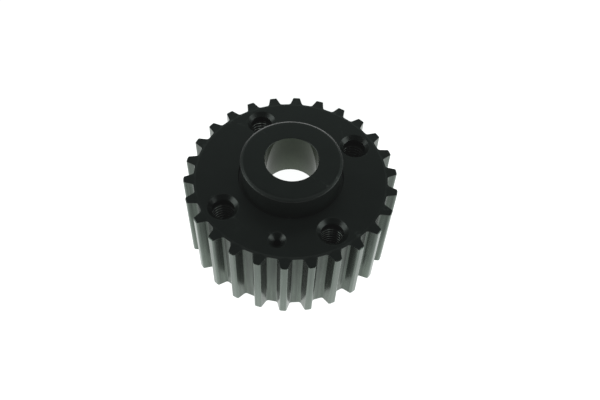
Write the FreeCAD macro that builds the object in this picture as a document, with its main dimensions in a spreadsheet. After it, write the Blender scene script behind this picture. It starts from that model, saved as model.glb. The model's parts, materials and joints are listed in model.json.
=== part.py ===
import FreeCAD, Part
import math
import os
import Sketcher

# Crankshaft timing belt pulley, 26 teeth for an 8 mm pitch curvilinear belt.
# Millimetres. The bore axis is Z. z = 0 is the back face, which meets the engine,
# and +Z points to the hub collar on the outer side.

V = FreeCAD.Vector
TEETH = 26

# The tool that cuts the tooth spaces: how far its tip corners, its sides and its back
# lie outside the teeth, and how much longer than the wheel it is.
CUTTER_CORNER_MARGIN = 0.02
CUTTER_SIDE_MARGIN = 1.6
CUTTER_BACK_MARGIN = 2
CUTTER_LENGTHS = 3

# Angles of the four accessory pulley screws, counter-clockwise from +X. Three stand
# 90 degrees apart and one is shifted, so the accessory pulley only fits one way round.
SCREW_ANGLES = {"screw_angle_a": 32.8, "screw_angle_b": 115.9,
                "screw_angle_c": -147.2, "screw_angle_d": -57.2}


def driving_dimensions():
    """Every size in mm, and every angle in degrees, by name."""
    d = {"tooth_count": TEETH, "belt_pitch": 8.0, "pitch_line_offset": 0.686,
         "groove_depth": 3.06, "tooth_tip_half_width": 1.0, "tooth_flank_angle": 17.5,
         "tooth_tip_round": 0.62, "tooth_root_round": 0.9, "first_space_angle": 12.405,
         "wheel_width": 26.4, "tooth_end_relief": 0.12, "rim_edge": 0.3,
         "face_step_inset": 0.2, "web_thickness": 7.6,
         "nose_socket_radius": 17.5, "nose_socket_depth": 10.8, "back_recess_radius": 25.0,
         "back_recess_edge": 0.6, "socket_lead_in": 0.6,
         "hub_seat_radius": 15.9, "hub_seat_depth": 0.8, "spigot_radius": 12.0,
         "spigot_lead_in": 0.5, "hub_radius": 15.15, "hub_height": 7.8,
         "hub_edge": 0.75, "bore_radius": 8.05, "bore_edge": 0.12,
         "screw_circle_radius": 23.2, "screw_hole_diameter": 6.8, "screw_hole_depth": 14.5,
         "screw_sink_diameter": 9.3, "screw_sink_angle": 90.0, "drill_point_angle": 118.0,
         "locating_circle_radius": 23.4, "locating_angle": -97.9,
         "locating_hole_diameter": 2.0, "locating_hole_depth": 8.0,
         "locating_sink_diameter": 5.3, "pin_circle_radius": 21.4, "pin_angle": -97.9,
         "pin_shank_radius": 2.5, "pin_shank_length": 8.0, "pin_nose_radius": 2.0,
         "pin_nose_length": 6.0, "pin_edge": 0.4}
    d.update(SCREW_ANGLES)

    d["screw_hole_radius"] = d["screw_hole_diameter"] / 2
    d["locating_hole_radius"] = d["locating_hole_diameter"] / 2
    d["tip_radius"] = TEETH * d["belt_pitch"] / (2 * math.pi) - d["pitch_line_offset"]
    d["root_radius"] = d["tip_radius"] - d["groove_depth"]
    d["tip_edge_radius"] = d["tip_radius"] - d["rim_edge"]
    d["rim_edge_top"] = d["wheel_width"] - d["tooth_end_relief"] - d["rim_edge"]
    d["tooth_end_level"] = d["wheel_width"] - d["tooth_end_relief"]
    d["face_step_radius"] = d["root_radius"] - d["face_step_inset"]
    d["face_edge_radius"] = d["face_step_radius"] - d["tooth_end_relief"]
    d["hub_seat_level"] = d["wheel_width"] - d["hub_seat_depth"]
    d["web_back_level"] = d["wheel_width"] - d["web_thickness"]
    d["back_recess_depth"] = d["web_back_level"] - d["nose_socket_depth"]
    d["socket_mouth_level"] = d["back_recess_depth"] + d["socket_lead_in"]
    d["socket_mouth_radius"] = d["nose_socket_radius"] + d["socket_lead_in"]
    d["back_edge_radius"] = d["back_recess_radius"] + d["back_recess_edge"]
    d["hub_top"] = d["wheel_width"] + d["hub_height"]
    d["hub_edge_level"] = d["hub_top"] - d["hub_edge"]
    d["hub_edge_radius"] = d["hub_radius"] - d["hub_edge"]
    d["bore_edge_radius"] = d["bore_radius"] + d["bore_edge"]
    d["bore_edge_top"] = d["hub_top"] - d["bore_edge"]
    d["bore_edge_back"] = d["web_back_level"] + d["bore_edge"]
    d["spigot_tip_radius"] = d["spigot_radius"] - d["spigot_lead_in"]
    d["spigot_tip_level"] = d["web_back_level"] + d["spigot_lead_in"]
    d["pin_top"] = d["back_recess_depth"] + d["pin_shank_length"]
    d["pin_foot"] = d["back_recess_depth"] - d["pin_nose_length"]
    d["pin_shank_edge_radius"] = d["pin_shank_radius"] - d["pin_edge"]
    d["pin_shank_edge_level"] = d["pin_top"] - d["pin_edge"]
    d["pin_nose_edge_radius"] = d["pin_nose_radius"] - d["pin_edge"]
    d["pin_nose_edge_level"] = d["pin_foot"] + d["pin_edge"]
    return d


def fill_sheet(doc, dims):
    """Write the dimensions into the sheet: name in column A, value in aliased column B."""
    sheet = doc.addObject("Spreadsheet::Sheet", "Sheet")
    for row, (name, value) in enumerate(dims.items(), start=1):
        sheet.set("A%d" % row, name)
        sheet.set("B%d" % row, "%.6f" % value)
        sheet.setAlias("B%d" % row, name)
    doc.recompute()
    return sheet


def new_body(doc, label):
    body = doc.addObject("PartDesign::Body", label)
    body.Label = label
    body.Placement = FreeCAD.Placement()
    return body


def new_sketch(body, name, role):
    """A sketch on the body's own origin plane with this role."""
    sketch = body.newObject("Sketcher::SketchObject", name)
    plane = next(p for p in body.Origin.OriginFeatures if p.Role == role)
    sketch.AttachmentSupport = [(plane, "")]
    sketch.MapMode = "FlatFace"
    return sketch


def bind(sketch, constraint, alias, unit=""):
    """Add a dimension to the sketch and bind it to the sheet's cell."""
    index = sketch.addConstraint(constraint)
    sketch.setExpression("Constraints[%d]" % index, "Sheet.%s%s" % (alias, unit))


def lathe_profile(body, name, dims, corners):
    """A closed half section on XZ, each corner given as (radius name, level name).

    The level None is the plane z = 0, and the radius name "axis" is the Z axis.
    """
    sketch = new_sketch(body, name, "XZ_Plane")
    points = [V(dims.get(r, 0), dims.get(z, 0), 0) for r, z in corners]
    for i, start in enumerate(points):
        sketch.addGeometry(Part.LineSegment(start, points[(i + 1) % len(points)]), False)
    for i, (radius, level) in enumerate(corners):
        after = (i + 1) % len(corners)
        sketch.addConstraint(Sketcher.Constraint("Coincident", i, 2, after, 1))
        if radius == "axis":
            sketch.addConstraint(Sketcher.Constraint("PointOnObject", i, 1, -2))
        else:
            bind(sketch, Sketcher.Constraint("DistanceX", -1, 1, i, 1, points[i].x), radius)
        if level:
            bind(sketch, Sketcher.Constraint("DistanceY", -1, 1, i, 1, points[i].y), level)
        else:
            sketch.addConstraint(Sketcher.Constraint("PointOnObject", i, 1, -1))
    return sketch


def turned(body, name, sketch):
    """The solid that the half section sweeps in a full turn about Z."""
    feature = body.newObject("PartDesign::Revolution", name)
    feature.Profile = sketch
    feature.ReferenceAxis = (sketch, ["V_Axis"])
    feature.Angle = 360
    sketch.Visibility = False
    return feature


def rounded_outline(sketch, corners):
    """Lines through (point, radius) corners, closed, with tangent arcs at the round ones."""
    starts, ends = [], []
    for i, (corner, radius) in enumerate(corners):
        back = (corners[i - 1][0] - corner).normalize()
        ahead = (corners[(i + 1) % len(corners)][0] - corner).normalize()
        half = back.getAngle(ahead) / 2
        reach = radius / math.tan(half) if radius else 0
        starts.append(corner + back * reach)
        ends.append(corner + ahead * reach)
        if radius:
            middle = (back + ahead).normalize()
            nearest = corner + middle * (radius / math.sin(half) - radius)
            sketch.addGeometry(Part.Arc(starts[i], nearest, ends[i]), False)
    for i, end in enumerate(ends):
        sketch.addGeometry(Part.LineSegment(end, starts[(i + 1) % len(starts)]), False)


def tooth_space(body, dims):
    """The outline of one space between two teeth, centred on +X, in the XY plane.

    The flanks of the two neighbouring teeth lean away from each other, the floor is
    flat, and the outer corners round the teeth's tips.
    """
    lean = math.tan(math.radians(dims["tooth_flank_angle"]))
    half_step = math.pi / TEETH
    outward = V(math.cos(half_step), math.sin(half_step), 0)
    across = V(math.sin(half_step), -math.cos(half_step), 0)
    tip = dims["tip_radius"] + CUTTER_CORNER_MARGIN
    half_tip = dims["tooth_tip_half_width"]

    tip_corner = outward * tip + across * half_tip
    run = (tip_corner.x - dims["root_radius"]) / (outward.x - lean * across.x)
    floor_corner = tip_corner - outward * run + across * (lean * run)
    beyond_tip = tip_corner - across * CUTTER_SIDE_MARGIN
    outside = beyond_tip + V(CUTTER_BACK_MARGIN, 0, 0)

    upper = [(floor_corner, dims["tooth_root_round"]), (tip_corner, dims["tooth_tip_round"]),
             (beyond_tip, 0), (outside, 0)]
    lower = [(V(p.x, -p.y, 0), radius) for p, radius in reversed(upper)]
    sketch = new_sketch(body, "ToothSpaceOutline", "XY_Plane")
    sketch.AttachmentOffset = FreeCAD.Placement(V(), FreeCAD.Rotation(V(0, 0, 1), 0))
    sketch.setExpression("AttachmentOffset.Rotation.Angle", "Sheet.first_space_angle * 1 deg")
    rounded_outline(sketch, upper + lower)
    return sketch


def cut_teeth(doc, body, dims):
    """Cut one tooth space through the rim, then repeat it round the axis."""
    space = body.newObject("PartDesign::Pocket", "ToothSpace")
    space.Profile = tooth_space(body, dims)
    space.Midplane = True
    space.setExpression("Length", "Sheet.wheel_width * %d" % CUTTER_LENGTHS)
    space.Profile[0].Visibility = False
    doc.recompute()

    teeth = body.newObject("PartDesign::PolarPattern", "Teeth")
    teeth.Originals = [space]
    teeth.Axis = (space.Profile[0], ["N_Axis"])
    teeth.Angle = 360
    teeth.setExpression("Occurrences", "Sheet.tooth_count")
    body.Tip = teeth
    doc.recompute()
    return teeth


def hole_centres(body, name, dims, level, size, places):
    """A sketch at this level with one circle for each (circle radius, angle) place.

    level, size and the places are names of dimensions; size is the circles' radius.
    """
    sketch = new_sketch(body, name, "XY_Plane")
    sketch.AttachmentOffset = FreeCAD.Placement(V(0, 0, dims[level]), FreeCAD.Rotation())
    sketch.setExpression("AttachmentOffset.Base.z", "Sheet.%s" % level)
    for radius_name, angle_name in places:
        angle = math.radians(dims[angle_name])
        centre = V(math.cos(angle), math.sin(angle), 0) * dims[radius_name]
        circle = sketch.addGeometry(Part.Circle(centre, V(0, 0, 1), dims[size]), False)
        spoke = sketch.addGeometry(Part.LineSegment(V(), centre), True)
        sketch.addConstraint(Sketcher.Constraint("Coincident", spoke, 1, -1, 1))
        sketch.addConstraint(Sketcher.Constraint("Coincident", spoke, 2, circle, 3))
        bind(sketch, Sketcher.Constraint("Radius", circle, dims[size]), size)
        bind(sketch, Sketcher.Constraint("Distance", spoke, dims[radius_name]), radius_name)
        bind(sketch, Sketcher.Constraint("Angle", spoke, angle), angle_name, " * 1 deg")
    body.Document.recompute()
    return sketch


def drill(doc, body, name, sketch, size):
    """Countersunk blind holes at the sketch's circles, with a drill point at the bottom.

    size is the first word of the names of their dimensions.
    """
    hole = body.newObject("PartDesign::Hole", name)
    hole.Profile = sketch
    hole.ThreadType = "None"
    hole.DepthType = "Dimension"
    hole.DrillPoint = "Angled"
    hole.HoleCutType = "Countersink"
    hole.HoleCutCustomValues = True
    hole.setExpression("Diameter", "Sheet.%s_hole_diameter" % size)
    hole.setExpression("Depth", "Sheet.%s_hole_depth" % size)
    hole.setExpression("DrillPointAngle", "Sheet.drill_point_angle * 1 deg")
    hole.setExpression("HoleCutDiameter", "Sheet.%s_sink_diameter" % size)
    hole.setExpression("HoleCutCountersinkAngle", "Sheet.screw_sink_angle * 1 deg")
    sketch.Visibility = False
    doc.recompute()
    return hole


def pin_hole(doc, body, dims):
    """The blind hole for the drive pin, bored upward from the floor of the back recess."""
    hole = body.newObject("PartDesign::Pocket", "PinHole")
    hole.Profile = hole_centres(body, "PinCentre", dims, "back_recess_depth",
                                "pin_shank_radius", [("pin_circle_radius", "pin_angle")])
    hole.Reversed = True
    hole.setExpression("Length", "Sheet.pin_shank_length")
    hole.Profile[0].Visibility = False
    doc.recompute()
    return hole


def toothed_wheel(doc, dims):
    """The toothed wheel: rim, web, crankshaft nose socket, screw holes and pin hole."""
    body = new_body(doc, "toothed_wheel")
    section = lathe_profile(body, "WheelSection", dims, [
        ("back_edge_radius", None),
        ("tip_edge_radius", None),
        ("tip_radius", "rim_edge"),
        ("tip_radius", "rim_edge_top"),
        ("tip_edge_radius", "tooth_end_level"),
        ("face_step_radius", "tooth_end_level"),
        ("face_edge_radius", "wheel_width"),
        ("hub_seat_radius", "wheel_width"),
        ("hub_seat_radius", "hub_seat_level"),
        ("spigot_radius", "hub_seat_level"),
        ("spigot_radius", "web_back_level"),
        ("nose_socket_radius", "web_back_level"),
        ("nose_socket_radius", "socket_mouth_level"),
        ("socket_mouth_radius", "back_recess_depth"),
        ("back_recess_radius", "back_recess_depth"),
        ("back_recess_radius", "back_recess_edge"),
    ])
    turned(body, "WheelBlank", section)
    doc.recompute()
    cut_teeth(doc, body, dims)

    screws = hole_centres(body, "ScrewCentres", dims, "wheel_width", "screw_hole_radius",
                          [("screw_circle_radius", name) for name in SCREW_ANGLES])
    drill(doc, body, "ScrewHoles", screws, "screw")
    locating = hole_centres(body, "LocatingCentre", dims, "wheel_width",
                            "locating_hole_radius",
                            [("locating_circle_radius", "locating_angle")])
    drill(doc, body, "LocatingHole", locating, "locating")
    body.Tip = pin_hole(doc, body, dims)
    doc.recompute()
    return body


def hub_sleeve(doc, dims):
    """The pressed-in hub: a collar on the outer side and a spigot through the web."""
    body = new_body(doc, "hub_sleeve")
    section = lathe_profile(body, "HubSection", dims, [
        ("bore_edge_radius", "web_back_level"),
        ("spigot_tip_radius", "web_back_level"),
        ("spigot_radius", "spigot_tip_level"),
        ("spigot_radius", "hub_seat_level"),
        ("hub_radius", "hub_seat_level"),
        ("hub_radius", "hub_edge_level"),
        ("hub_edge_radius", "hub_top"),
        ("bore_edge_radius", "hub_top"),
        ("bore_radius", "bore_edge_top"),
        ("bore_radius", "bore_edge_back"),
    ])
    body.Tip = turned(body, "Hub", section)
    doc.recompute()
    return body


def drive_pin(doc, dims):
    """The stepped dowel that locks the pulley to the crankshaft.

    Its thick shank is pressed into the floor of the back recess, and its thin nose
    stands in the recess, short of the back face.
    """
    body = new_body(doc, "drive_pin")
    section = lathe_profile(body, "PinSection", dims, [
        ("axis", "pin_foot"),
        ("pin_nose_edge_radius", "pin_foot"),
        ("pin_nose_radius", "pin_nose_edge_level"),
        ("pin_nose_radius", "back_recess_depth"),
        ("pin_shank_radius", "back_recess_depth"),
        ("pin_shank_radius", "pin_shank_edge_level"),
        ("pin_shank_edge_radius", "pin_top"),
        ("axis", "pin_top"),
    ])
    body.Tip = turned(body, "Pin", section)
    angle = math.radians(dims["pin_angle"])
    place = V(math.cos(angle), math.sin(angle), 0) * dims["pin_circle_radius"]
    body.Placement = FreeCAD.Placement(place, FreeCAD.Rotation())
    doc.recompute()
    return body


def check(doc, bodies):
    """Stop if anything in the document failed, or if a piece isn't one valid solid."""
    for item in doc.Objects:
        if "Invalid" in item.State or "Error" in item.State:
            raise RuntimeError("%s is %s" % (item.Label, item.State))
    for body in bodies:
        shape = body.Shape
        if shape.isNull() or not shape.isValid() or len(shape.Solids) != 1:
            raise RuntimeError("%s isn't one valid solid" % body.Label)


def main():
    os.makedirs("parts", exist_ok=True)
    doc = FreeCAD.newDocument("TimingBeltPulley")
    dims = driving_dimensions()
    fill_sheet(doc, dims)
    bodies = [toothed_wheel(doc, dims), hub_sleeve(doc, dims), drive_pin(doc, dims)]
    check(doc, bodies)
    for body in bodies:
        body.Shape.exportStep("parts/%s.step" % body.Label)
        box = body.Shape.BoundBox
        print("%s: %.1f mm3, z %.2f to %.2f, radius %.3f"
              % (body.Label, body.Shape.Volume, box.ZMin, box.ZMax, box.XMax))


main()
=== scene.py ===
import json
import math

import bmesh
import bpy
from mathutils import Matrix, Vector


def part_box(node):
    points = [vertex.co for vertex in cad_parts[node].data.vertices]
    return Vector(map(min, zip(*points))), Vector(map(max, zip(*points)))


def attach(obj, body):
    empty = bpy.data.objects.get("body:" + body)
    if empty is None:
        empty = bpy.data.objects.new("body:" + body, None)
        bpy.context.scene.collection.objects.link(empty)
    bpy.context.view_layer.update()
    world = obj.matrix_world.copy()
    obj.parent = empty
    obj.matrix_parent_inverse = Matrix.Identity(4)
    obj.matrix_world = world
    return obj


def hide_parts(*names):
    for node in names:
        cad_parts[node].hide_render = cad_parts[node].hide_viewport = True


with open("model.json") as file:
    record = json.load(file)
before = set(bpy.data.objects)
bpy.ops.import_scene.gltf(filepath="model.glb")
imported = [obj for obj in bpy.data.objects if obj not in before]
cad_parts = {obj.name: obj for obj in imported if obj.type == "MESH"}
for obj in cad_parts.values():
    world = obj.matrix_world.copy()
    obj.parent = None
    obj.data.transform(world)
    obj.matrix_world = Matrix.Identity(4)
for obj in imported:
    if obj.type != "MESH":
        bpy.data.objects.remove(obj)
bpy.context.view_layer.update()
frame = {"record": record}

# Sizes are in millimetres and the frame is in metres.
MM = 0.001
MOUNTS = {m["name"]: m for m in frame["record"]["mounts"]}

WIDTH = (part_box("toothed_wheel")[1] / MM).z
HUB_LOW, HUB_HIGH = [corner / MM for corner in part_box("hub_sleeve")]
PIN_LOW, PIN_HIGH = [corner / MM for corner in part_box("drive_pin")]

# The belt's teeth. END_RELIEF is how far their outer ends lie below the face.
TEETH = 26
PITCH = 8.0
PITCH_LINE_OFFSET = 0.686
GROOVE_DEPTH = 3.06
TIP_RADIUS = TEETH * PITCH / (2 * math.pi) - PITCH_LINE_OFFSET
ROOT_RADIUS = TIP_RADIUS - GROOVE_DEPTH
TIP_HALF_WIDTH = 1.0
FLANK_ANGLE = math.radians(17.5)
TIP_ROUND = 0.62
ROOT_ROUND = 0.9
FIRST_SPACE = math.radians(12.405)
RIM_EDGE = 0.3
END_RELIEF = 0.12
TOOTH_END = WIDTH - END_RELIEF

# The turned faces. The step is the slope from the teeth's ends up to the face, and the seat is
# the groove that the hub's collar stands in, with a flat lip round it.
STEP_INSET = 0.2
STEP_WIDTH = 0.45
STEP_RADIUS = ROOT_RADIUS - STEP_INSET
FACE_RADIUS = STEP_RADIUS - STEP_WIDTH
SEAT_RADIUS = 15.9
SEAT_DEPTH = 0.8
SEAT_LIP = 0.2
SEAT_LEVEL = WIDTH - SEAT_DEPTH
SPIGOT_RADIUS = 12.0
SPIGOT_ROUND = 0.1
WEB_BACK = HUB_LOW.z
SOCKET_RADIUS = MOUNTS["crank_nose_socket"]["dims"]["r_mm"]
RECESS_DEPTH = 8.0
RECESS_RADIUS = 25.0
LEAD_IN = 0.6
BORE_RADIUS = MOUNTS["crank_bolt_bore"]["dims"]["r_mm"]
HUB_RADIUS = MOUNTS["hub_collar"]["dims"]["r_mm"]
HUB_EDGE = 0.85
HUB_EDGE_DROP = 0.52
HUB_EDGE_ROUND = 0.2

# BREAK is for the edges that have no size of their own, and MARGIN is the width of the flat band
# beside an edge.
BREAK = 0.12
MARGIN = 0.12

# The holes. THREAD_TOP and THREAD_DEPTH are where the thread starts and ends below the face.
THREAD_PITCH = 1.25
THREAD_ROWS = 12
THREAD_ROOT = 4.0
THREAD_CREST = MOUNTS["pulley_screw_hole_a"]["dims"]["r_mm"]
THREAD_TOP = 2.8
THREAD_DEPTH = 12.6
HOLE_DEPTH = 14.5
SINK_RADIUS = 4.65
SINK_EDGE = 0.3
LOCATING_RADIUS = MOUNTS["locating_hole"]["dims"]["r_mm"]
LOCATING_SINK = 2.65
LOCATING_DEPTH = 8.0
DRILL_POINT = math.radians(31)
PIN_NOSE_RADIUS = MOUNTS["drive_pin_nose"]["dims"]["r_mm"]
PIN_SHANK_RADIUS = (PIN_HIGH.x - PIN_LOW.x) / 2
PIN_EDGE = 0.4
PIN_MIDDLE = 0.2

# The light. Radiance 1 is the white of the table. SKY_GLOW is what the band low behind the object
# adds to the sky, and GLARE is how far the view lifts black.
SKY = 0.035
SKY_GLOW = 0.38
SKY_COLOUR = (0.82, 1.0, 0.93, 1)
LAMP_COLOUR = (0.88, 1.0, 0.94)
CEILING_PLACE = (0, -0.12, 1.0)
CEILING_SIZE = (1.7, 0.9)
CEILING_RADIANCE = 0.32
SOFTBOX_DISTANCE = 0.65
SOFTBOX_SIZE = (0.5, 0.35)
SOFTBOX_RADIANCE = 2.2
GLARE = 0.0052

ROUND_STEPS = 208
HOLE_STEPS = 80
SHARP_ANGLE = math.radians(38)

# Material slots of the wheel, and of the hub.
BLACK, STEEL, BRIGHT, THREAD = range(4)
OILED = 1


# Mesh building. Rings are lists of bmesh vertices with no repeated end.

def add_ring(bm, points):
    return [bm.verts.new(p) for p in points]


def circle(radius, level, steps=ROUND_STEPS, centre=(0, 0)):
    """Points of a level circle, counter-clockwise."""
    angle = 2 * math.pi / steps
    return [(centre[0] + radius * math.cos(angle * i), centre[1] + radius * math.sin(angle * i),
             level) for i in range(steps)]


def skin(bm, below, above, material):
    """Quads between two rings of the same length."""
    for i in range(len(below)):
        j = (i + 1) % len(below)
        face = bm.faces.new((below[i], below[j], above[j], above[i]))
        face.material_index = material


def span(bm, rings, material):
    """A flat face bounded by one outer ring and any rings inside it."""
    edges = []
    for ring in rings:
        for i in range(len(ring)):
            pair = (ring[i], ring[(i + 1) % len(ring)])
            edges.append(bm.edges.get(pair) or bm.edges.new(pair))
    filled = bmesh.ops.triangle_fill(bm, edges=edges, use_beauty=True)
    for item in filled["geom"]:
        if isinstance(item, bmesh.types.BMFace):
            item.material_index = material


def soft_corners(corners, radius, steps=3):
    """The open (radius, level) profile with each inner corner rounded to this radius.

    A round takes up less than half of the shorter side beside it.
    """
    most = 0.45
    points = [corners[0]]
    for before, corner, after in zip(corners, corners[1:], corners[2:]):
        back = Vector(before) - Vector(corner)
        ahead = Vector(after) - Vector(corner)
        half = back.angle(ahead) / 2
        reach = min(radius / math.tan(half), back.length * most, ahead.length * most)
        start = Vector(corner) + back.normalized() * reach
        end = Vector(corner) + ahead.normalized() * reach
        for i in range(steps + 1):
            s = i / steps
            point = start * (1 - s) ** 2 + Vector(corner) * 2 * s * (1 - s) + end * s ** 2
            points.append(tuple(point))
    points.append(corners[-1])
    return points


def turn(bm, ring, profile, material, centre=(0, 0)):
    """Skins the (radius, level) profile round an axis, and returns the last ring.

    The given ring stands at the profile's first point.
    """
    for radius, level in profile[1:]:
        following = add_ring(bm, circle(radius, level, len(ring), centre))
        skin(bm, ring, following, material)
        ring = following
    return ring


def margin(bm, ring, outward, material, centre=(0, 0), outer=3):
    """Two flat bands beside a level ring, to keep the edge's wear and painted highlight near it.

    The second band is outer times wider, because Cycles can take points less than 0.35 mm apart
    for one point when it measures how convex the surface is.
    """
    for width in (outward, outward * outer):
        points = []
        for vert in ring:
            arm = Vector((vert.co.x - centre[0], vert.co.y - centre[1], 0)).normalized()
            points.append(vert.co + arm * width)
        beside = add_ring(bm, points)
        skin(bm, ring, beside, material)
        ring = beside
    return ring


def close_point(bm, ring, point, material):
    """Closes a ring with a cone to one point."""
    tip = bm.verts.new(point)
    for i in range(len(ring)):
        face = bm.faces.new((ring[i], ring[(i + 1) % len(ring)], tip))
        face.material_index = material


def arc_corner(before, corner, after, radius, steps):
    """Points of the tangent arc that rounds this 2D corner."""
    back = (before - corner).normalized()
    ahead = (after - corner).normalized()
    half = back.angle(ahead) / 2
    start = corner + back * (radius / math.tan(half))
    centre = corner + (back + ahead).normalized() * (radius / math.sin(half))
    sweep = math.pi - 2 * half
    side = 1 if back.cross(ahead) < 0 else -1
    arm = start - centre
    return [centre + Matrix.Rotation(side * sweep * i / steps, 2) @ arm
            for i in range(steps + 1)]


def tooth_outline():
    """The rim's outline, counter-clockwise, as 2D points."""
    lean = math.tan(FLANK_ANGLE)
    half_step = math.pi / TEETH
    outward = Vector((math.cos(half_step), math.sin(half_step)))
    across = Vector((math.sin(half_step), -math.cos(half_step)))
    tip_corner = outward * TIP_RADIUS + across * TIP_HALF_WIDTH
    run = (tip_corner.x - ROOT_RADIUS) / (outward.x - lean * across.x)
    floor_corner = tip_corner - outward * run + across * (lean * run)
    on_land = tip_corner - across
    mirrored = Vector((floor_corner.x, -floor_corner.y))

    upper = arc_corner(mirrored, floor_corner, tip_corner, ROOT_ROUND, 7)
    upper += arc_corner(floor_corner, tip_corner, on_land, TIP_ROUND, 7)
    space = [Vector((p.x, -p.y)) for p in reversed(upper)] + upper
    outline = []
    for tooth in range(TEETH):
        spin = Matrix.Rotation(FIRST_SPACE + 2 * math.pi * tooth / TEETH, 2)
        outline += [spin @ p for p in space]
        outline.append(Matrix.Rotation(half_step, 2) @ (spin @ Vector((TIP_RADIUS, 0))))
    return outline


def inset(outline, depth):
    """The outline moved inward by depth, along its normals."""
    moved = []
    for i, point in enumerate(outline):
        along = (outline[(i + 1) % len(outline)] - outline[i - 1]).normalized()
        moved.append(point - Vector((along.y, -along.x)) * depth)
    return moved


def rim_level(outline, level):
    """The outline at this height: its ends are broken, and its tips are chamfered."""
    from_end = min(level, TOOTH_END - level)
    drop = max(0, BREAK - from_end)
    depth = BREAK - math.sqrt(BREAK ** 2 - drop ** 2)
    reach = TIP_RADIUS - max(0, RIM_EDGE - from_end)
    points = []
    for p in inset(outline, depth):
        kept = p * min(1, reach / p.length)
        points.append((kept.x, kept.y, level))
    return points


def thread_reach(turns):
    """Share of the thread's depth at this many turns along it: flat crest and root."""
    crest_flat, flanks = 0.25, 0.625
    place = turns % 1
    rise = min(place, 1 - place) * 2
    return min(1, max(0, (rise - crest_flat) / flanks))


def sink_radius(depth, mouth):
    """Radius of a 90 degree countersink at this depth; its edge on the face is rounded."""
    start = SINK_EDGE * math.tan(math.radians(22.5))
    if depth > start * math.sqrt(0.5):
        return mouth - depth
    across = math.sqrt(SINK_EDGE ** 2 - (SINK_EDGE - depth) ** 2)
    return mouth + start - across


def tapped_hole(bm, ring, centre):
    """The countersunk tapped hole below a ring in the outer face."""
    rows = int(HOLE_DEPTH / (THREAD_PITCH / THREAD_ROWS))
    edge_shares = (0.01, 0.04, 0.1, 0.18, 0.29)
    depths = [SINK_EDGE * share for share in edge_shares]
    depths += [HOLE_DEPTH * row / rows for row in range(1, rows + 1)]
    depths.append(SINK_RADIUS - THREAD_CREST)
    for depth in sorted(depths):
        sink = sink_radius(depth, SINK_RADIUS)
        from_ends = min(depth - THREAD_TOP, THREAD_DEPTH - depth)
        fade = min(1, max(0, from_ends / THREAD_PITCH))
        points = []
        for i in range(HOLE_STEPS):
            share = thread_reach(depth / THREAD_PITCH + i / HOLE_STEPS) * fade
            wall = THREAD_CREST + (THREAD_ROOT - THREAD_CREST) * share
            radius = max(sink, wall)
            angle = 2 * math.pi * i / HOLE_STEPS
            points.append((centre[0] + radius * math.cos(angle),
                           centre[1] + radius * math.sin(angle), WIDTH - depth))
        following = add_ring(bm, points)
        skin(bm, following, ring, BLACK if depth < THREAD_TOP else THREAD)
        ring = following
    bottom = WIDTH - HOLE_DEPTH - THREAD_CREST * math.tan(DRILL_POINT)
    close_point(bm, ring, (centre[0], centre[1], bottom), BLACK)


def locating_hole(bm, ring, centre):
    """The small countersunk blind hole below a ring in the outer face."""
    bottom = WIDTH - LOCATING_DEPTH
    profile = soft_corners([(LOCATING_SINK + SINK_EDGE, WIDTH), (LOCATING_SINK, WIDTH),
                            (LOCATING_RADIUS, WIDTH - LOCATING_SINK + LOCATING_RADIUS),
                            (LOCATING_RADIUS, bottom)], SINK_EDGE)
    ring = turn(bm, ring, profile, BLACK, centre)
    point = bottom - LOCATING_RADIUS * math.tan(DRILL_POINT)
    close_point(bm, ring, (centre[0], centre[1], point), BLACK)


def finish_mesh(bm, name, materials):
    """Turns the bmesh, in millimetres, into a smooth-shaded object in metres."""
    bmesh.ops.recalc_face_normals(bm, faces=bm.faces)
    bmesh.ops.scale(bm, vec=(MM, MM, MM), verts=bm.verts)
    mesh = bpy.data.meshes.new(name)
    bm.to_mesh(mesh)
    bm.free()
    for material in materials:
        mesh.materials.append(material)
    mesh.shade_smooth()
    mesh.set_sharp_from_angle(angle=SHARP_ANGLE)
    piece = bpy.data.objects.new(name, mesh)
    bpy.context.scene.collection.objects.link(piece)
    normals = piece.modifiers.new("flat_faces_stay_flat", "WEIGHTED_NORMAL")
    normals.keep_sharp = True
    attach(piece, "root")
    return piece


# Pieces.

def centre_of(mount):
    """The mount's place in the XY plane."""
    return [c / MM for c in MOUNTS[mount]["pos_m"][:2]]


def make_rim(bm):
    """The teeth, black where their ends are broken; returns the lowest and highest ring."""
    outline = tooth_outline()
    edge = [BREAK * (1 - math.cos(math.radians(a))) for a in (0, 30, 60, 90)]
    levels = edge + [RIM_EDGE, TOOTH_END - RIM_EDGE] + [TOOTH_END - e for e in reversed(edge)]
    rings = [add_ring(bm, rim_level(outline, level)) for level in levels]
    bands = len(rings) - 1
    broken = len(edge) - 1
    for i, (below, above) in enumerate(zip(rings, rings[1:])):
        skin(bm, below, above, STEEL if broken <= i < bands - broken else BLACK)
    return rings[0], rings[-1]


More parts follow.
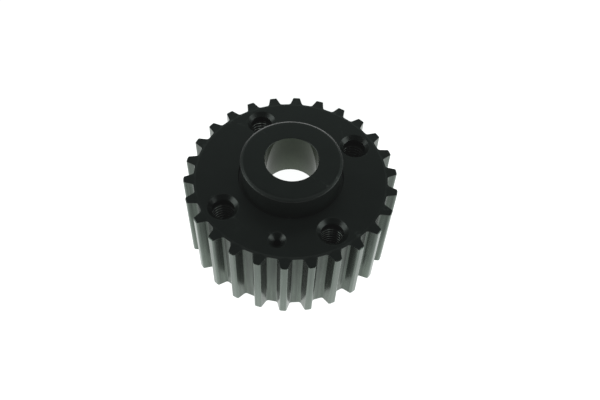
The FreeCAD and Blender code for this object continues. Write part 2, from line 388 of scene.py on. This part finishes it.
def make_face(bm, teeth_end):
    """The outer face with its holes and the hub's seat; returns the spigot hole's ring."""
    step = add_ring(bm, circle(STEP_RADIUS, TOOTH_END))
    span(bm, [teeth_end, step], BLACK)
    face_edge = turn(bm, step, [(STEP_RADIUS, TOOTH_END), (FACE_RADIUS, WIDTH)], BLACK)

    seat = soft_corners([(SEAT_RADIUS + SEAT_LIP, WIDTH), (SEAT_RADIUS, WIDTH),
                         (SEAT_RADIUS, SEAT_LEVEL), (SPIGOT_RADIUS, SEAT_LEVEL)], BREAK)
    seat_edge = add_ring(bm, circle(*seat[0]))
    spigot_ring = turn(bm, seat_edge, seat, BLACK)

    holes = [margin(bm, seat_edge, MARGIN, BLACK)]
    for name in sorted(MOUNTS):
        if name.startswith("pulley_screw_hole"):
            centre = centre_of(name)
            mouth = sink_radius(0, SINK_RADIUS)
            ring = add_ring(bm, circle(mouth, WIDTH, HOLE_STEPS, centre))
            tapped_hole(bm, ring, centre)
            holes.append(margin(bm, ring, MARGIN, BLACK, centre))
    centre = centre_of("locating_hole")
    ring = add_ring(bm, circle(LOCATING_SINK + SINK_EDGE, WIDTH, HOLE_STEPS, centre))
    locating_hole(bm, ring, centre)
    holes.append(margin(bm, ring, MARGIN, BLACK, centre))
    face_rim = turn(bm, face_edge, [(FACE_RADIUS, WIDTH), (FACE_RADIUS - MARGIN, WIDTH)], BLACK)
    span(bm, [face_rim] + holes, BLACK)
    return spigot_ring


def make_back(bm, spigot_ring, teeth_end):
    """The crankshaft socket, the back recess with the pin's hole, and the back face."""
    socket = soft_corners([(SPIGOT_RADIUS, SEAT_LEVEL), (SPIGOT_RADIUS, WEB_BACK),
                           (SOCKET_RADIUS, WEB_BACK), (SOCKET_RADIUS, RECESS_DEPTH + LEAD_IN),
                           (SOCKET_RADIUS + LEAD_IN, RECESS_DEPTH)], BREAK)
    socket_mouth = turn(bm, spigot_ring, socket, BRIGHT)

    recess = soft_corners([(RECESS_RADIUS, RECESS_DEPTH), (RECESS_RADIUS, LEAD_IN),
                           (RECESS_RADIUS + LEAD_IN, 0)], BREAK)
    recess_floor = add_ring(bm, circle(*recess[0]))
    recess_mouth = turn(bm, recess_floor, recess, BLACK)
    centre = centre_of("drive_pin_nose")
    pin_hole = add_ring(bm, circle(PIN_SHANK_RADIUS, RECESS_DEPTH, HOLE_STEPS, centre))
    span(bm, [margin(bm, recess_floor, -MARGIN, BLACK, outer=1),
              margin(bm, socket_mouth, MARGIN, BLACK, outer=1),
              margin(bm, pin_hole, MARGIN, BLACK, centre, 1)], BLACK)
    pin_end = turn(bm, pin_hole, [(PIN_SHANK_RADIUS, RECESS_DEPTH),
                                  (PIN_SHANK_RADIUS, PIN_HIGH.z)], BLACK, centre)
    span(bm, [pin_end], BLACK)
    span(bm, [teeth_end, margin(bm, recess_mouth, MARGIN, BLACK)], BLACK)


def make_wheel(black, steel, bright, thread):
    """The toothed wheel: black faces, machined teeth, bright crankshaft socket."""
    bm = bmesh.new()
    back_end, outer_end = make_rim(bm)
    spigot_ring = make_face(bm, outer_end)
    make_back(bm, spigot_ring, back_end)
    wheel = finish_mesh(bm, "belt_wheel", [black, steel, bright, thread])
    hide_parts("toothed_wheel")


def make_hub(black, oiled):
    """The hub: a black collar and a hidden spigot, with an oiled bore."""
    bm = bmesh.new()
    top = HUB_HIGH.z
    side = top - 3 * HUB_EDGE_DROP
    mouth = BORE_RADIUS + BREAK
    lower = soft_corners([(mouth, WEB_BACK), (SPIGOT_RADIUS, WEB_BACK),
                          (SPIGOT_RADIUS, SEAT_LEVEL), (HUB_RADIUS, SEAT_LEVEL),
                          (HUB_RADIUS, side)], SPIGOT_ROUND)
    edge = soft_corners([(HUB_RADIUS, side), (HUB_RADIUS, top - HUB_EDGE_DROP),
                         (HUB_RADIUS - HUB_EDGE, top), (HUB_RADIUS - 2 * HUB_EDGE, top)],
                        HUB_EDGE_ROUND)
    back = add_ring(bm, circle(*lower[0]))
    outside = turn(bm, turn(bm, back, lower, BLACK), edge, BLACK)
    bore_top = turn(bm, outside, [edge[-1], (mouth + 4 * MARGIN, top), (mouth + MARGIN, top),
                                  (mouth, top), (BORE_RADIUS, top - BREAK)], BLACK)
    bore_back = turn(bm, bore_top, [(BORE_RADIUS, top - BREAK),
                                    (BORE_RADIUS, WEB_BACK + BREAK)], OILED)
    skin(bm, bore_back, back, OILED)
    hub = finish_mesh(bm, "hub_collar_sleeve", [black, oiled])
    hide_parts("hub_sleeve")


def make_pin(steel):
    """The stepped dowel in the back recess."""
    bm = bmesh.new()
    centre = centre_of("drive_pin_nose")
    profile = soft_corners([(PIN_MIDDLE, PIN_LOW.z), (PIN_NOSE_RADIUS - PIN_EDGE, PIN_LOW.z),
                            (PIN_NOSE_RADIUS, PIN_LOW.z + PIN_EDGE),
                            (PIN_NOSE_RADIUS, RECESS_DEPTH), (PIN_SHANK_RADIUS, RECESS_DEPTH),
                            (PIN_SHANK_RADIUS, PIN_HIGH.z - PIN_EDGE),
                            (PIN_SHANK_RADIUS - PIN_EDGE, PIN_HIGH.z),
                            (PIN_MIDDLE, PIN_HIGH.z)], BREAK)
    foot = add_ring(bm, circle(*profile[0], HOLE_STEPS, centre))
    head = turn(bm, foot, profile, 0, centre)
    span(bm, [foot], 0)
    span(bm, [head], 0)
    pin = finish_mesh(bm, "drive_dowel", [steel])
    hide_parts("drive_pin")


# Node trees and materials.

class Nodes:
    """Short calls for building a node tree."""

    def __init__(self, tree, coordinates):
        self.tree = tree
        self.place = self.add("ShaderNodeTexCoord").outputs[coordinates]

    def add(self, kind, **values):
        node = self.tree.nodes.new(kind)
        for key, value in values.items():
            setattr(node, key, value)
        return node

    def link(self, source, target):
        self.tree.links.new(source, target)

    def along(self, axis):
        """The place along X, Y or Z."""
        split = self.add("ShaderNodeSeparateXYZ")
        self.link(self.place, split.inputs["Vector"])
        return split.outputs[axis]

    def distance(self):
        """The distance from the Z axis."""
        flat = self.add("ShaderNodeVectorMath", operation="MULTIPLY")
        flat.inputs[1].default_value = (1, 1, 0)
        self.link(self.place, flat.inputs[0])
        length = self.add("ShaderNodeVectorMath", operation="LENGTH")
        self.link(flat.outputs["Vector"], length.inputs[0])
        return length.outputs["Value"]

    def remap(self, source, start, end, low=0, high=1, curve="LINEAR"):
        """A float that goes from low to high as source goes from start to end."""
        node = self.add("ShaderNodeMapRange", interpolation_type=curve)
        values = {"From Min": start, "From Max": end, "To Min": low, "To Max": high}
        for socket, value in values.items():
            node.inputs[socket].default_value = value
        self.link(source, node.inputs["Value"])
        return node.outputs["Result"]

    def smooth(self, source, start, end, low, high):
        """Like remap, with soft ends."""
        return self.remap(source, start, end, low, high, "SMOOTHSTEP")

    def mix(self, share, low, high):
        """A float from low to high as share goes from 0 to 1."""
        return self.remap(share, 0, 1, low, high)

    def times(self, first, second):
        node = self.add("ShaderNodeMath", operation="MULTIPLY")
        self.link(first, node.inputs[0])
        self.link(second, node.inputs[1])
        return node.outputs["Value"]

    def add_up(self, first, second, weight=1):
        """first + second * weight."""
        node = self.add("ShaderNodeMath", operation="MULTIPLY_ADD")
        node.inputs[1].default_value = weight
        self.link(second, node.inputs[0])
        self.link(first, node.inputs[2])
        return node.outputs["Value"]

    def noise(self, scale, detail, rough=0.55):
        """Noise with this many cells per metre along X, Y and Z."""
        mapping = self.add("ShaderNodeMapping")
        mapping.inputs["Scale"].default_value = scale
        self.link(self.place, mapping.inputs["Vector"])
        noise = self.add("ShaderNodeTexNoise")
        noise.inputs["Scale"].default_value = 1
        noise.inputs["Detail"].default_value = detail
        noise.inputs["Roughness"].default_value = rough
        self.link(mapping.outputs["Vector"], noise.inputs["Vector"])
        return noise.outputs["Fac"]

    def rings(self, per_metre, detail):
        """Noise that only changes with the distance from the Z axis, like turning marks."""
        noise = self.add("ShaderNodeTexNoise", noise_dimensions="1D")
        noise.inputs["Scale"].default_value = per_metre
        noise.inputs["Detail"].default_value = detail
        self.link(self.distance(), noise.inputs["W"])
        return noise.outputs["Fac"]

    def ramp(self, share, *stops):
        """A colour ramp with (position, colour) stops."""
        node = self.add("ShaderNodeValToRGB")
        elements = node.color_ramp.elements
        while len(elements) < len(stops):
            elements.new(0.5)
        for element, (position, colour) in zip(elements, stops):
            element.position = position
            element.color = (*colour, 1)
        self.link(share, node.inputs["Fac"])
        return node.outputs["Color"]

    def blend(self, share, low, high):
        """A colour from low to high, each a socket or three numbers, by this share."""
        node = self.add("ShaderNodeMix", data_type="RGBA")
        self.link(share, node.inputs["Factor"])
        for socket, colour in (("A", low), ("B", high)):
            if isinstance(colour, tuple):
                node.inputs[socket].default_value = (*colour, 1)
            else:
                self.link(colour, node.inputs[socket])
        return node.outputs["Result"]

    def convex(self, start, full):
        """0 to 1 as the surface's pointiness, 0.5 where flat, goes from start to full."""
        geometry = self.add("ShaderNodeNewGeometry")
        return self.remap(geometry.outputs["Pointiness"], start, full)

    def edge_wear_and_highlight(self):
        """1 on patches of convex edges, 0 elsewhere: rubbed wear, and partly a painted highlight.
        """
        patches = self.remap(self.noise((700, 700, 700), 4, 0.6), 0.45, 0.65)
        return self.times(self.convex(0.52, 0.62), patches)


class Surface(Nodes):
    """A new material, with values for its shader's sockets by name."""

    def __init__(self, name, **sockets):
        self.material = bpy.data.materials.new(name)
        self.material.use_nodes = True
        super().__init__(self.material.node_tree, "Object")
        self.shader = self.tree.nodes["Principled BSDF"]
        for socket, value in sockets.items():
            self.shader.inputs[socket.replace("_", " ")].default_value = value

    def set(self, socket, source):
        self.link(source, self.shader.inputs[socket])

    def bump(self, height, distance):
        node = self.add("ShaderNodeBump")
        node.inputs["Distance"].default_value = distance
        node.inputs["Strength"].default_value = 1
        self.link(height, node.inputs["Height"])
        self.set("Normal", node.outputs["Normal"])


def black_oxide():
    """Black oxide over turned steel: dark, satin, with faint turning marks and blotches."""
    n = Surface("black_oxide", Metallic=0.0, IOR=1.5)
    blotches = n.noise((180, 180, 180), 5, 0.6)
    marks = n.rings(3200, 2)
    grain = n.noise((5200, 5200, 5200), 3)
    oxide = n.ramp(blotches, (0.3, (0.0038, 0.0063, 0.0053)), (0.7, (0.0056, 0.0086, 0.0073)))
    # Convex edges are painted lighter: partly rubbed wear, partly a painted highlight along them.
    n.set("Base Color", n.blend(n.edge_wear_and_highlight(), oxide, (0.045, 0.050, 0.047)))
    n.set("Roughness", n.mix(n.add_up(n.mix(blotches, 0, 0.6), marks, 0.4), 0.26, 0.40))
    n.bump(n.add_up(marks, grain, 0.6), 0.000004)
    return n.material


def machined_steel():
    """The hobbed teeth: grey steel with streaks along it, painted shade in the spaces, black
    outer ends.
    """
    n = Surface("machined_teeth")
    streaks = n.noise((1300, 1300, 30), 5, 0.6)
    patches = n.noise((420, 420, 140), 4, 0.6)
    height = n.along("Z")
    # Painted light: the teeth are lighter towards their foot, for the lit table's glare reflected
    # there.
    painted_table_glow_at_foot = n.smooth(height, 0, 0.9 * WIDTH * MM, 0.36, 0)
    tone = n.add_up(n.add_up(n.mix(streaks, -0.2, 0.8), patches, 0.4), painted_table_glow_at_foot)
    lands = n.ramp(tone, (0.3, (0.084, 0.101, 0.089)), (0.7, (0.124, 0.149, 0.130)),
                   (1.0, (0.155, 0.186, 0.163)))
    # Painted shade: the spaces between the teeth get darker colours than the lands.
    painted_shade_spaces = n.ramp(tone, (0.3, (0.027, 0.035, 0.029)), (0.7, (0.060, 0.076, 0.063)),
                    (1.0, (0.100, 0.125, 0.103)))
    on_land = n.remap(n.distance(), (TIP_RADIUS - 0.9) * MM, (TIP_RADIUS - 0.2) * MM)
    ragged = n.add_up(height, n.noise((1400, 1400, 700), 4, 0.6), 0.0004)
    oxide = n.remap(ragged, (TOOTH_END - 0.02) * MM, (TOOTH_END + 0.08) * MM)
    n.set("Base Color", n.blend(oxide, n.blend(on_land, painted_shade_spaces, lands), (0.0050, 0.0080, 0.0068)))
    n.set("Metallic", n.mix(oxide, 1, 0))
    n.set("Roughness", n.mix(streaks, 0.14, 0.36))
    n.bump(n.add_up(streaks, n.noise((6000, 6000, 600), 2), 0.4), 0.000016)
    return n.material


def tapped_oxide():
    """The threads: dark oxide with crests that are worn bright in patches."""
    n = Surface("tapped_thread", IOR=1.25)
    patches = n.noise((900, 900, 900), 4, 0.6)
    oxide = n.ramp(patches, (0.3, (0.003, 0.005, 0.004)), (0.7, (0.006, 0.008, 0.007)))
    worn = n.smooth(n.noise((340, 340, 0), 0), 0.42, 0.58, 0.1, 1)
    crest = n.times(n.convex(0.505, 0.53), worn)
    n.set("Base Color", n.blend(crest, oxide, (0.80, 0.82, 0.79)))
    n.set("Metallic", crest)
    n.set("Roughness", n.mix(patches, 0.24, 0.40))
    n.bump(n.noise((3000, 3000, 3000), 3), 0.000006)
    return n.material


def oiled_bore():
    """The bore of the hub: thin olive oxide under a film of oil."""
    n = Surface("oiled_bore", Metallic=0.0, IOR=1.31, Specular_Tint=(0.75, 1.0, 0.68, 1))
    marks = n.noise((60, 60, 5200), 3, 0.6)
    patches = n.noise((260, 260, 160), 4, 0.6)
    n.set("Base Color",
          n.ramp(patches, (0.3, (0.034, 0.042, 0.027)), (0.7, (0.044, 0.053, 0.036))))
    n.set("Roughness", n.mix(marks, 0.05, 0.13))
    n.bump(marks, 0.000003)
    return n.material


def reamed_steel():
    """The crankshaft socket: bright steel with faint marks round it."""
    n = Surface("reamed_bore", Metallic=1.0)
    marks = n.noise((60, 60, 5200), 3, 0.6)
    patches = n.noise((260, 260, 160), 4, 0.6)
    n.set("Base Color", n.ramp(patches, (0.3, (0.47, 0.475, 0.44)), (0.7, (0.60, 0.60, 0.56))))
    n.set("Roughness", n.mix(marks, 0.14, 0.26))
    n.bump(marks, 0.000005)
    return n.material


def ground_steel():
    """The hardened dowel: ground steel."""
    n = Surface("ground_dowel", Metallic=1.0)
    marks = n.noise((900, 900, 7000), 3, 0.6)
    n.set("Base Color", n.ramp(marks, (0.3, (0.42, 0.42, 0.41)), (0.7, (0.55, 0.55, 0.54))))
    n.set("Roughness", n.mix(marks, 0.16, 0.3))
    n.bump(marks, 0.000004)
    return n.material


# The stage.

def make_floor():
    """A white lit table. Its glow differs from place to place, for the metal to reflect.

    It is brightest under the bore and beside the wheel, and dimmest far behind.
    """
    half = 2.0
    mesh = bpy.data.meshes.new("table")
    mesh.from_pydata([(-half, -half, 0), (half, -half, 0), (half, half, 0), (-half, half, 0)],
                     [], [(0, 1, 2, 3)])
    floor = bpy.data.objects.new("table", mesh)
    bpy.context.scene.collection.objects.link(floor)
    n = Surface("lit_table", Base_Color=(0.1, 0.1, 0.1, 1), Roughness=0.9,
                Emission_Color=(0.98, 1.0, 0.99, 1))
    sideways = n.add("ShaderNodeMath", operation="ABSOLUTE")
    n.link(n.along("X"), sideways.inputs[0])
    glow = n.smooth(n.distance(), 0.005, 0.016, 2.15, 1.0)
    beside = n.smooth(sideways.outputs["Value"], 0.015, 0.060, 0, 0.55)
    farther_out = n.smooth(sideways.outputs["Value"], 0.055, 0.085, 0, -0.5)
    under_rim = n.smooth(n.distance(), 0.024, 0.033, 0, 0.15)
    past_rim = n.smooth(n.distance(), 0.033, 0.052, 0, -0.15)
    far_behind = n.smooth(n.along("Y"), 0.140, 0.230, 0, -0.4)
    for part in (beside, farther_out, under_rim, past_rim, far_behind):
        glow = n.add_up(glow, part)
    n.set("Emission Strength", glow)
    mesh.materials.append(n.material)


def make_world():
    """Dim soft light, with a brighter band low behind the object."""
    world = bpy.data.worlds.new("studio")
    bpy.context.scene.world = world
    world.use_nodes = True
    background = world.node_tree.nodes["Background"]
    n = Nodes(world.node_tree, "Generated")
    below_top = n.smooth(n.along("Z"), 0.60, 0.88, 1, 0)
    above_horizon = n.smooth(n.along("Z"), 0.15, 0.45, 0.2, 1)
    behind = n.smooth(n.along("Y"), -0.2, 0.5, 0, 1)
    band = n.times(n.times(below_top, above_horizon), behind)
    n.link(n.mix(band, SKY, SKY + SKY_GLOW), background.inputs["Strength"])
    background.inputs["Color"].default_value = SKY_COLOUR


def add_softbox(name, place, size, radiance):
    """A rectangular light that faces the object's centre from this place."""
    width, height = size
    light = bpy.data.lights.new(name, "AREA")
    light.shape = "RECTANGLE"
    light.color = LAMP_COLOUR
    light.size = width
    light.size_y = height
    light.energy = radiance * math.pi * width * height
    lamp = bpy.data.objects.new(name, light)
    facing = Vector(place).to_track_quat("Z", "Y").to_matrix().to_4x4()
    lamp.matrix_world = Matrix.Translation(place) @ facing
    bpy.context.scene.collection.objects.link(lamp)


def make_lights():
    """A ceiling panel above the front, and a low softbox on each side."""
    add_softbox("ceiling", CEILING_PLACE, CEILING_SIZE, CEILING_RADIANCE)
    for name, azimuth, elevation in (("right", -10, 17), ("left", 188, 21)):
        around, up = math.radians(azimuth), math.radians(elevation)
        facing = Vector((math.cos(around) * math.cos(up), math.sin(around) * math.cos(up),
                         math.sin(up)))
        add_softbox("side_" + name, facing * SOFTBOX_DISTANCE, SOFTBOX_SIZE, SOFTBOX_RADIANCE)


def make_camera():
    """A camera in front of the pulley, looking down at it, aimed a little off its centre.

    Its angles are in radians.
    """
    elevation = 0.91903
    distance = 204.4
    pan, tilt, roll = -0.01474, -0.03615, 0.04179
    lens = 40.5138
    back = Vector((0, -math.cos(elevation), math.sin(elevation)))
    right = Vector((1, 0, 0))
    up = back.cross(right)
    place = back * distance + Vector((0, 0, WIDTH))

    turned = Matrix.Rotation(pan, 3, up)
    right, back = turned @ right, turned @ back
    turned = Matrix.Rotation(tilt, 3, right)
    up, back = turned @ up, turned @ back
    turned = Matrix.Rotation(roll, 3, back)
    right, up = turned @ right, turned @ up

    data = bpy.data.cameras.new("camera")
    data.sensor_width = 36
    data.lens = lens
    data.clip_start = 0.01
    data.clip_end = 20
    camera = bpy.data.objects.new("camera", data)
    axes = Matrix((right, up, back)).transposed()
    camera.matrix_world = Matrix.Translation(place * MM) @ axes.to_4x4()
    bpy.context.scene.collection.objects.link(camera)
    bpy.context.scene.camera = camera


def main():
    black = black_oxide()
    make_wheel(black, machined_steel(), reamed_steel(), tapped_oxide())
    make_hub(black, oiled_bore())
    make_pin(ground_steel())
    make_floor()
    make_world()
    make_lights()
    make_camera()
    view = bpy.context.scene.view_settings
    view.view_transform = "Standard"
    view.use_curve_mapping = True
    view.curve_mapping.black_level = (-GLARE, -GLARE, -GLARE)
    view.curve_mapping.update()


main()
